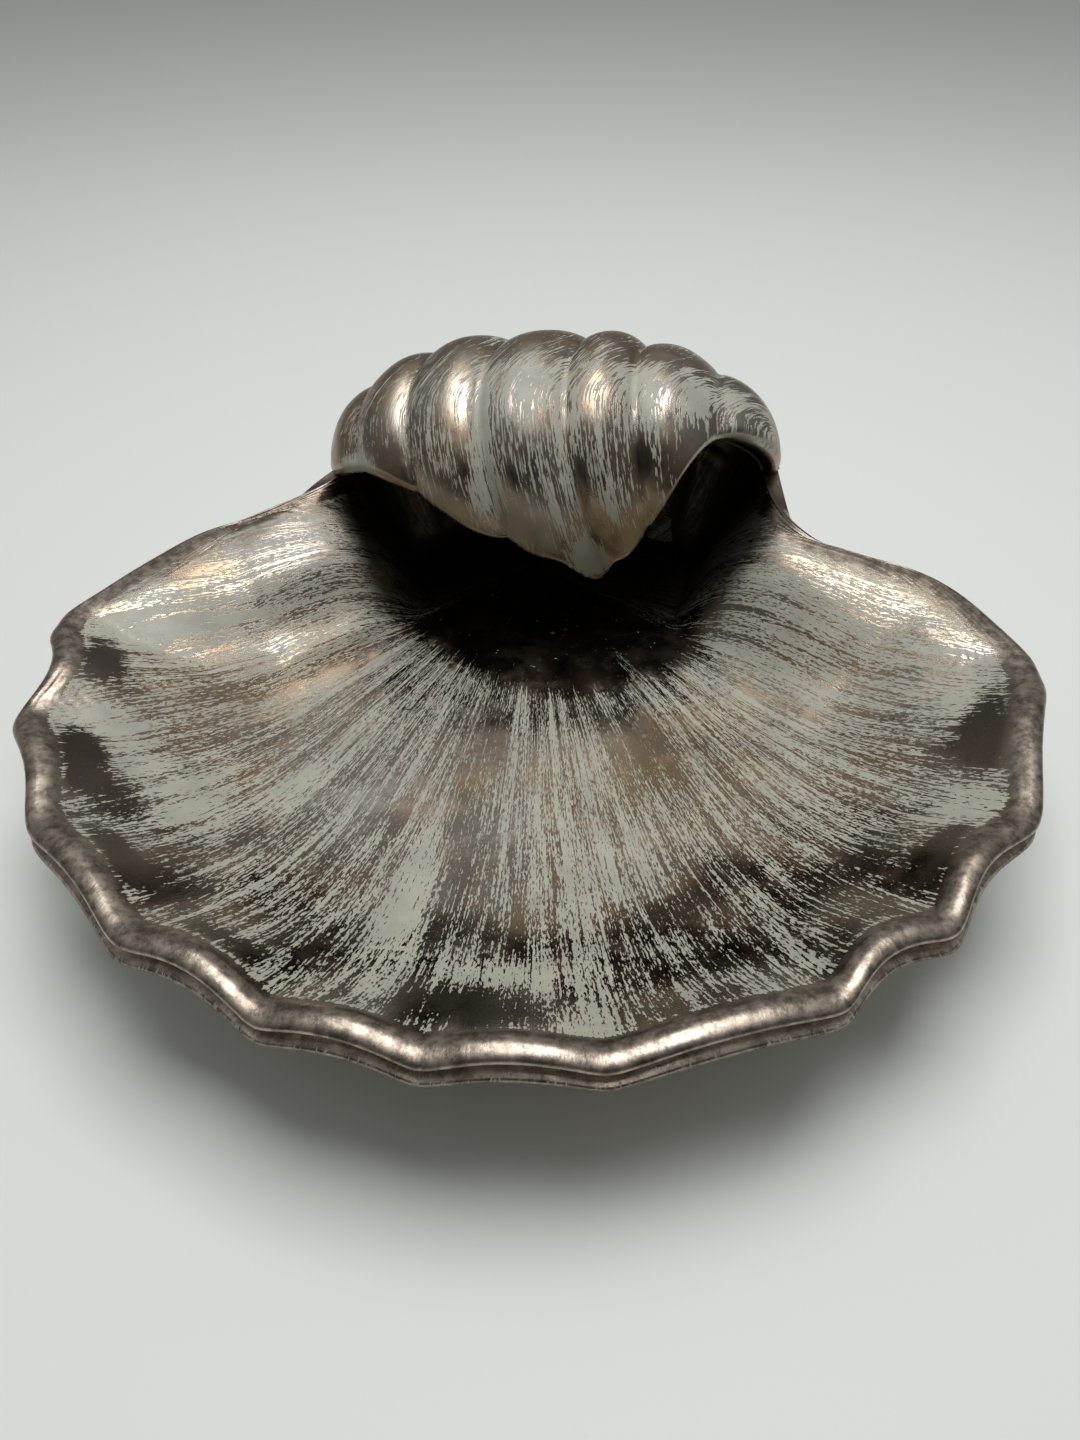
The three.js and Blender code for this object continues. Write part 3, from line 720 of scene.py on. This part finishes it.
def bowl_marks(spokes, grid, reach, up_wall, outside):
    """Paint, lustre darkened by painted shade and painted dark reflections, bare rim, and painted black shade
    at the cavern's sides for each point of the bowl.
    """
    from_hood = np.hypot(grid[..., 0] - HOOD_CENTRE_X, grid[..., 1] - HUB_Y)
    angle = np.degrees(np.arctan2(grid[..., 0], HUB_Y - grid[..., 1]))
    inner_face, outer_face = smoothstep(outside, *INNER_FACE), smoothstep(outside, *OUTER_FACE)
    cavern, cavern_side_shade, beside = cavern_painted_shade(from_hood, angle)
    pocket = rib_pockets(up_wall, angle, spokes.arch)
    cavern, cavern_side_shade, pocket = (mark * inner_face for mark in (cavern, cavern_side_shade, pocket))
    band = smoothstep(up_wall, lerp(*RIM_BAND_START, spokes.soft), RIM_BAND_END)
    hairs = np.exp(-(((up_wall - RIM_HAIR_SHARE) / RIM_HAIR_WIDTH) ** 2))
    hairs *= smoothstep(angle, *RIM_HAIR_SPAN_DEG)

    inner = PAINT_INSIDE + sum_of_touches(angle, reach, BOWL_TOUCHES) + RIM_HAIR_GAIN * hairs
    inner -= POCKET_LOSS * pocket + CAVERN_LOSS * cavern * (1 - beside) + fade(up_wall, *RIM_LOSS)
    outer = PAINT_OUTSIDE - fade(up_wall, *OUTER_LIP_LOSS)

    # Pockets and far bare touches get painted dark reflection on the lustre
    missed = [touch for touch in BOWL_TOUCHES if touch[-1] < 0 and touch[1] > MISSED_BEYOND]
    hollow = POCKET_PAINTED_REFLECTION * pocket - MISSED_PAINTED_REFLECTION * sum_of_touches(angle, reach, missed)
    # Painted shade on the shoulders' rim band
    shade = smoothstep(spokes.climbed, *SHOULDER_SHADE_SPAN)
    # Painted shade in the undercut below the lip
    undercut = outer_face * smoothstep(up_wall, *UNDERCUT_SPAN)
    # Painted shade and painted dark reflections on the lustre, the strongest of them at each point
    deep = np.maximum.reduce([
        lerp(cavern, cavern_side_shade, beside),
        np.clip(hollow, 0, POCKET_REFLECTION_MOST) * (1 - band),
        SHOULDER_PAINTED_SHADE * shade * band,
        UNDERCUT_PAINTED_SHADE * undercut,
    ])
    # The rim band's patina gives way to painted shade at the cavern's sides, on the shoulders and in the
    # undercut
    band = band * (1 - cavern_side_shade) * (1 - SHOULDER_SHADE_PATINA_LOSS * shade) * (1 - undercut)
    return {"paint": lerp(inner, outer, outer_face), "deep": deep, "band": band, "cavern_side_shade": cavern_side_shade}


# Slip joints and foot

def slip_section(steps, squareness):
    """Rounded outline of a slip joint, as shares of its half width and of its rise."""
    turn = np.linspace(0, 2 * math.pi, steps + 1)[:-1]
    ways = np.cos(turn), np.sin(turn)
    return [np.sign(way) * np.abs(way) ** power for way, power in zip(ways, squareness)]


def make_hood_slip(material):
    """Thin bead of slip between the ledge and the hood's base."""
    along, crest = whorl_stations()
    outer = hood_base(along, crest, 0)
    inner = hood_base(along, crest, HOOD_WALL)
    across = outer - inner
    across /= np.linalg.norm(across, axis=1)[:, None]
    side, rise = slip_section(HOOD_SLIP_STEPS, HOOD_SLIP_SQUARENESS)
    middle, half = (outer + inner) / 2, np.linalg.norm(outer - inner, axis=1) / 2 + SLIP_PROUD
    plan = middle[:, None] + across[:, None] * half[:, None, None] * side[None, :, None]
    height = np.broadcast_to(HOOD_AXIS_Z - SEAM / 2 + SEAM * SLIP_RISE * rise, plan.shape[:2])
    rows = np.concatenate([plan, height[..., None]], axis=-1)
    ends = [np.broadcast_to(row.mean(axis=0), row.shape)[None] for row in (rows[0], rows[-1])]
    grid = np.concatenate([ends[0], rows, ends[1]])
    piece = lattice("hood_slip_fine", grid, False, True, {})
    adopt(piece, "hood_slip_joint", material)


def floor_ring(name, profile):
    """A ring that follows the floor's outline: each profile point is an inset from its edge and a height."""
    angle = 2 * math.pi * np.arange(FOOT_STEPS)[:, None] / FOOT_STEPS
    inset, height = np.array(profile).T
    grid = np.stack([
        (FLOOR_HALF_WIDTH - inset) * np.cos(angle),
        FLOOR_CENTRE_Y + (FLOOR_HALF_DEPTH - inset) * np.sin(angle),
        np.broadcast_to(height, (FOOT_STEPS, len(height))),
    ], axis=-1)
    return lattice(name, grid, True, True, {})


def make_foot(material):
    """Tapered ring with rounded lower edges."""
    inside = FOOT_INSET + FOOT_WIDTH
    outer_foot, inner_foot = FOOT_INSET + FOOT_TAPER, inside - FOOT_TAPER
    quarter = np.linspace(0, math.pi / 2, FOOT_ROUND_STEPS + 1)
    rounding = [(FOOT_ROUND * (1 - math.cos(t)), FOOT_ROUND * (1 - math.sin(t))) for t in quarter]
    profile = [(FOOT_INSET, FOOT_HEIGHT), (inside, FOOT_HEIGHT)]
    profile += [(inner_foot - inset, height) for inset, height in rounding]
    profile += [(outer_foot + inset, height) for inset, height in rounding[::-1]]
    adopt(floor_ring("foot_ring_fine", profile), "foot_ring", material)


def make_foot_slip(material):
    """Low fillet of slip between the ring and the underside."""
    middle, half = FOOT_INSET + FOOT_WIDTH / 2, FOOT_WIDTH / 2 + SLIP_PROUD
    side, rise = slip_section(FOOT_SLIP_STEPS, FOOT_SLIP_SQUARENESS)
    profile = np.stack([middle + half * side, FOOT_HEIGHT + SEAM / 2 + SEAM * SLIP_RISE * rise], axis=-1)
    adopt(floor_ring("foot_slip_fine", profile), "foot_slip_joint", material)


# Materials

class Nodes:
    """Short names for the nodes of one material."""

    def __init__(self, name):
        self.material = bpy.data.materials.new(name)
        self.material.use_nodes = True
        self.tree = self.material.node_tree
        self.shader = self.tree.nodes["Principled BSDF"]

    def add(self, kind, inputs=None, **settings):
        node = self.tree.nodes.new(kind)
        for key, value in settings.items():
            setattr(node, key, value)
        for key, value in (inputs or {}).items():
            self.put(node.inputs[key], value)
        return node

    def put(self, socket, value):
        if isinstance(value, bpy.types.NodeSocket):
            self.tree.links.new(value, socket)
        else:
            socket.default_value = value

    def attribute(self, label):
        return self.add("ShaderNodeAttribute", attribute_name=label)

    def stretched(self, vector, scale):
        return self.add("ShaderNodeVectorMath", {0: vector, 1: scale}, operation="MULTIPLY").outputs[0]

    def noise(self, vector, scale=1.0, detail=3.0, roughness=0.6):
        values = {"Vector": vector, "Scale": scale, "Detail": detail, "Roughness": roughness}
        return self.add("ShaderNodeTexNoise", values).outputs["Fac"]

    def swing(self, value, size):
        """A noise about zero, by a size."""
        return self.math("MULTIPLY", self.math("SUBTRACT", value, 0.5), size)

    def math(self, operation, a, b=0.0):
        return self.add("ShaderNodeMath", {0: a, 1: b}, operation=operation).outputs[0]

    def ramp(self, value, low, high, start=0.0, end=1.0):
        values = {"Value": value, "From Min": low, "From Max": high, "To Min": start, "To Max": end}
        return self.add("ShaderNodeMapRange", values, interpolation_type="SMOOTHSTEP").outputs["Result"]

    def mix_colour(self, share, a, b):
        node = self.add("ShaderNodeMix", data_type="RGBA")
        self.put(node.inputs["Factor"], share)
        self.put(node.inputs["A"], a)
        self.put(node.inputs["B"], b)
        return node.outputs["Result"]

    def bump(self, height, strength, distance):
        values = {"Height": height, "Strength": strength, "Distance": distance}
        return self.add("ShaderNodeBump", values).outputs["Normal"]


# Colours of the paint, the lustre, the lustre in painted shade, the painted black shade at the cavern's
# sides, the worn rim, the slip and the bare clay
PAINT_PALE = (0.45, 0.445, 0.365, 1)
PAINT_GREY = (0.38, 0.378, 0.318, 1)
LUSTRE_PEWTER = (0.34, 0.305, 0.262, 1)
LUSTRE_BRONZE = (0.36, 0.266, 0.185, 1)
# Lustre in painted shade and painted dark reflections
LUSTRE_IN_PAINTED_SHADE = (0.135, 0.113, 0.09, 1)
# Painted black shade at the cavern's sides, over paint and lustre
SIDE_SHADE_BLACK = (0.012, 0.011, 0.009, 1)
PATINA_DARK = (0.17, 0.142, 0.116, 1)
PATINA_WORN = (0.50, 0.42, 0.345, 1)
SLIP_DARK = (0.22, 0.2, 0.17, 1)
SLIP_PALE = (0.4, 0.38, 0.32, 1)
CLAY_DARK = (0.62, 0.55, 0.45, 1)
CLAY_PALE = (0.74, 0.69, 0.6, 1)
CLAY_IRON = (0.25, 0.17, 0.11, 1)

# How much each noise of the brush moves the paint's edge, and the softness of that edge
HAIR_SWING = 1.7
DASH_SWING = 2.2
SWEEP_SWING = 1.2
PAINT_EDGE = (0.465, 0.535)

# Noises by place: grain to the metre, and the range of the noise that shows
FLECK_GRAIN, FLECK_RANGE = 420.0, (0.69, 0.73)
MOTTLE_GRAIN, MOTTLE_RANGE = 70.0, (0.35, 0.65)
WARMTH_GRAIN, WARMTH_RANGE = 22.0, (0.38, 0.62)
WEAR_GRAIN, WEAR_RANGE = 240.0, (0.34, 0.66)
CLOUD_GRAIN, CLOUD_RANGE = 90.0, (0.3, 0.7)
SLIP_GRAIN, SLIP_RANGE = 180.0, (0.3, 0.7)
STAIN_GRAIN, STAIN_RANGE = 40.0, (0.3, 0.7)
IRON_GRAIN, IRON_RANGE = 420.0, (0.70, 0.74)
GRIT_GRAIN = 900.0

# Flecks of paint where the painted shade is darkest: the range of painted shade, and the paint at both ends
# of it
FLECKS_IN_PAINTED_SHADE = (0.9, 1.0, 0.0, 0.6)

# Roughness, and strength and depth of the bumps
PAINT_DULLNESS = 0.18
BAND_DULLNESS = 0.12
SLIP_GLOSS = (0.3, 0.5)
CLAY_ROUGHNESS = 0.85
DASH_RELIEF = 0.6
BRUSH_BUMP = (0.30, 0.0003)
SLIP_BUMP = (0.4, 0.0004)
CLAY_BUMP = (0.35, 0.0003)

# Finish of each piece: fineness of the brush's bristles, dashes and sweeps, and roughness of its lustre
BOWL_FINISH = ((250, 250, 40), (380, 380, 480), (40, 40, 14), (0.15, 0.32))
HOOD_FINISH = ((1200, 38, 0), (2000, 200, 0), (260, 16, 0), (0.22, 0.40))


def lustre_material(name, label, bristle, dash, broad, gloss):
    """Glossy lustre under dry-brushed paint, darkened by painted shade and painted dark reflections. Where a
    piece has no painted side shade or band, they read as nought.
    """
    n = Nodes(name)
    brushed = n.attribute(label).outputs["Vector"]
    marks = "paint", "deep", "cavern_side_shade", "band"
    # The marks: paint, painted shade with painted dark reflections, painted black shade at the cavern's
    # sides, and the rim's bare band
    amount, deep, cavern_side_shade, band = (n.attribute(mark).outputs["Fac"] for mark in marks)
    place = n.add("ShaderNodeTexCoord").outputs["Object"]
    hairs = n.noise(n.stretched(brushed, bristle), detail=2.0, roughness=0.55)
    dashes = n.noise(n.stretched(brushed, dash), detail=2.5, roughness=0.6)
    sweeps = n.noise(n.stretched(brushed, broad), detail=2.0, roughness=0.5)
    uneven = n.math("ADD", n.swing(hairs, HAIR_SWING), n.swing(dashes, DASH_SWING))
    uneven = n.math("ADD", uneven, n.swing(sweeps, SWEEP_SWING))
    paint = n.ramp(n.math("ADD", amount, uneven), *PAINT_EDGE)
    flecks = n.ramp(n.noise(place, FLECK_GRAIN, detail=2.0), *FLECK_RANGE)
    paint = n.math("MAXIMUM", paint, n.math("MULTIPLY", flecks, n.ramp(deep, *FLECKS_IN_PAINTED_SHADE)))

    mottle = n.noise(place, MOTTLE_GRAIN, detail=4.0)
    pale = n.mix_colour(n.ramp(mottle, *MOTTLE_RANGE), PAINT_GREY, PAINT_PALE)
    # The painted black shade at the cavern's sides darkens the paint too
    pale = n.mix_colour(cavern_side_shade, pale, SIDE_SHADE_BLACK)
    warmth = n.noise(place, WARMTH_GRAIN, detail=3.0)
    lustre = n.mix_colour(n.ramp(warmth, *WARMTH_RANGE), LUSTRE_PEWTER, LUSTRE_BRONZE)
    # Painted shade and painted dark reflections darken the lustre
    lustre = n.mix_colour(deep, lustre, LUSTRE_IN_PAINTED_SHADE)
    wear = n.noise(place, WEAR_GRAIN, detail=5.0, roughness=0.75)
    patina = n.mix_colour(n.ramp(wear, *WEAR_RANGE), PATINA_DARK, PATINA_WORN)
    lustre = n.mix_colour(band, lustre, patina)
    n.put(n.shader.inputs["Base Color"], n.mix_colour(paint, lustre, pale))
    n.put(n.shader.inputs["Metallic"], n.ramp(paint, 0, 1, 1, 0))
    sheen = n.ramp(n.noise(place, CLOUD_GRAIN, detail=4.0), *CLOUD_RANGE, *gloss)
    dull = n.math("ADD", n.math("MULTIPLY", paint, PAINT_DULLNESS), n.math("MULTIPLY", band, BAND_DULLNESS))
    n.put(n.shader.inputs["Roughness"], n.math("ADD", sheen, dull))
    grain = n.math("ADD", paint, n.math("MULTIPLY", dashes, DASH_RELIEF))
    n.put(n.shader.inputs["Normal"], n.bump(grain, *BRUSH_BUMP))
    return n.material


def slip_material():
    n = Nodes("fired_slip")
    place = n.add("ShaderNodeTexCoord").outputs["Object"]
    grain = n.noise(place, SLIP_GRAIN, detail=4.0)
    n.put(n.shader.inputs["Base Color"], n.mix_colour(grain, SLIP_DARK, SLIP_PALE))
    n.put(n.shader.inputs["Roughness"], n.ramp(grain, *SLIP_RANGE, *SLIP_GLOSS))
    n.put(n.shader.inputs["Normal"], n.bump(grain, *SLIP_BUMP))
    return n.material


def bisque_material():
    """Bare fired clay with fine grit and a few iron specks."""
    n = Nodes("bare_bisque")
    place = n.add("ShaderNodeTexCoord").outputs["Object"]
    grit = n.noise(place, GRIT_GRAIN, detail=3.0)
    stain = n.noise(place, STAIN_GRAIN, detail=3.0)
    clay = n.mix_colour(n.ramp(stain, *STAIN_RANGE), CLAY_DARK, CLAY_PALE)
    iron = n.ramp(n.noise(place, IRON_GRAIN, detail=1.0), *IRON_RANGE)
    n.put(n.shader.inputs["Base Color"], n.mix_colour(iron, clay, CLAY_IRON))
    n.shader.inputs["Roughness"].default_value = CLAY_ROUGHNESS
    n.put(n.shader.inputs["Normal"], n.bump(grit, *CLAY_BUMP))
    return n.material


# Stage

# Light of the room: a direction, the range of facing it, and the level at both ends of that range
ROOM_LEVELS = [
    ((0, 0, 1), 0.05, 0.95, 0.20, 0.56),
    ((0, 1, 0), -0.75, 0.35, 0.30, 0.75),
    ((0.03, -0.86, 0.51), 0.945, 0.988, 1.0, 0.10),
]
ROOM_COLOUR = (0.97, 0.99, 0.97, 1)
LAMP_PLACE = (0.05, 0.12, 1.15)
LAMP_AIM = (0, 0.02, 0.05)
LAMP_SIZE = 0.75
LAMP_POWER = 9.6

# Table: half of its side, its colours near and far, the far one a little darker as painted shade, and the
# depth range between them
TABLE_HALF = 4.0
TABLE_NEAR = (0.812, 0.832, 0.806, 1)
TABLE_FAR = (0.79, 0.80, 0.79, 1)
TABLE_RANGE = (0.60, 0.92)
TABLE_ROUGHNESS = 0.6


def table_material():
    n = Nodes("pale_table")
    place = n.add("ShaderNodeTexCoord").outputs["Object"]
    depth = n.add("ShaderNodeSeparateXYZ", {0: place}).outputs["Y"]
    # A little darker far off: painted shade
    n.put(n.shader.inputs["Base Color"], n.mix_colour(n.ramp(depth, *TABLE_RANGE), TABLE_NEAR, TABLE_FAR))
    n.shader.inputs["Roughness"].default_value = TABLE_ROUGHNESS
    return n.material


def make_table():
    mesh = bpy.data.meshes.new("table_top")
    corners = [(x * TABLE_HALF, y * TABLE_HALF, 0) for x, y in ((-1, -1), (1, -1), (1, 1), (-1, 1))]
    mesh.from_pydata(corners, [], [(0, 1, 2, 3)])
    mesh.materials.append(table_material())
    table = bpy.data.objects.new("table_top", mesh)
    bpy.context.collection.objects.link(table)


def make_lamp():
    """A square soft lamp overhead, turned towards the dish."""
    lamp = bpy.data.lights.new("overhead", "AREA")
    lamp.shape = "RECTANGLE"
    lamp.size = lamp.size_y = LAMP_SIZE
    lamp.energy = LAMP_POWER
    piece = bpy.data.objects.new("overhead", lamp)
    piece.location = LAMP_PLACE
    offset = np.array(LAMP_AIM) - np.array(LAMP_PLACE)
    flat = math.hypot(offset[0], offset[1])
    piece.rotation_euler = (math.atan2(flat, -offset[2]), 0, math.atan2(-offset[0], offset[1]))
    bpy.context.collection.objects.link(piece)


def make_room():
    """A room that is pale above and behind, and dark where the viewer stands."""
    world = bpy.data.worlds.new("room")
    world.use_nodes = True
    tree = world.node_tree
    ground = tree.nodes["Background"]
    way = tree.nodes.new("ShaderNodeTexCoord").outputs["Generated"]
    level = None
    for towards, low, high, start, end in ROOM_LEVELS:
        facing = tree.nodes.new("ShaderNodeVectorMath")
        facing.operation = "DOT_PRODUCT"
        tree.links.new(way, facing.inputs[0])
        facing.inputs[1].default_value = towards
        ramp = tree.nodes.new("ShaderNodeMapRange")
        ramp.interpolation_type = "SMOOTHSTEP"
        tree.links.new(facing.outputs["Value"], ramp.inputs["Value"])
        for key, value in {"From Min": low, "From Max": high, "To Min": start, "To Max": end}.items():
            ramp.inputs[key].default_value = value
        if level is None:
            level = ramp.outputs["Result"]
            continue
        product = tree.nodes.new("ShaderNodeMath")
        product.operation = "MULTIPLY"
        tree.links.new(level, product.inputs[0])
        tree.links.new(ramp.outputs["Result"], product.inputs[1])
        level = product.outputs[0]
    tree.links.new(level, ground.inputs["Strength"])
    ground.inputs["Color"].default_value = ROOM_COLOUR
    bpy.context.scene.world = world


# Camera, fitted to the photograph: it looks down at the dish from the front
CAMERA_AIM = (0.002, -0.042, 0.052)
CAMERA_DISTANCE = 0.314
CAMERA_PITCH = math.radians(42)
SENSOR_WIDTH_MM = 36.0
LENS_MM = 36.03
NEAREST_SEEN = 0.01


def make_camera():
    data = bpy.data.cameras.new("camera")
    data.sensor_fit = "HORIZONTAL"
    data.sensor_width = SENSOR_WIDTH_MM
    data.lens = LENS_MM
    data.clip_start = NEAREST_SEEN
    camera = bpy.data.objects.new("camera", data)
    back = np.array([0, -math.cos(CAMERA_PITCH), math.sin(CAMERA_PITCH)]) * CAMERA_DISTANCE
    camera.location = FAN_MIDDLE + np.array(CAMERA_AIM) + back
    camera.rotation_euler = (math.pi / 2 - CAMERA_PITCH, 0, 0)
    bpy.context.collection.objects.link(camera)
    bpy.context.scene.camera = camera


def main():
    make_camera()
    make_bowl(lustre_material("bowl_lustre", "spoke", *BOWL_FINISH))
    make_hood(lustre_material("hood_lustre", "wrap", *HOOD_FINISH))
    slip = slip_material()
    make_hood_slip(slip)
    make_foot(bisque_material())
    make_foot_slip(slip)
    make_table()
    make_lamp()
    make_room()
    bpy.context.scene.view_settings.view_transform = "Standard"


main()
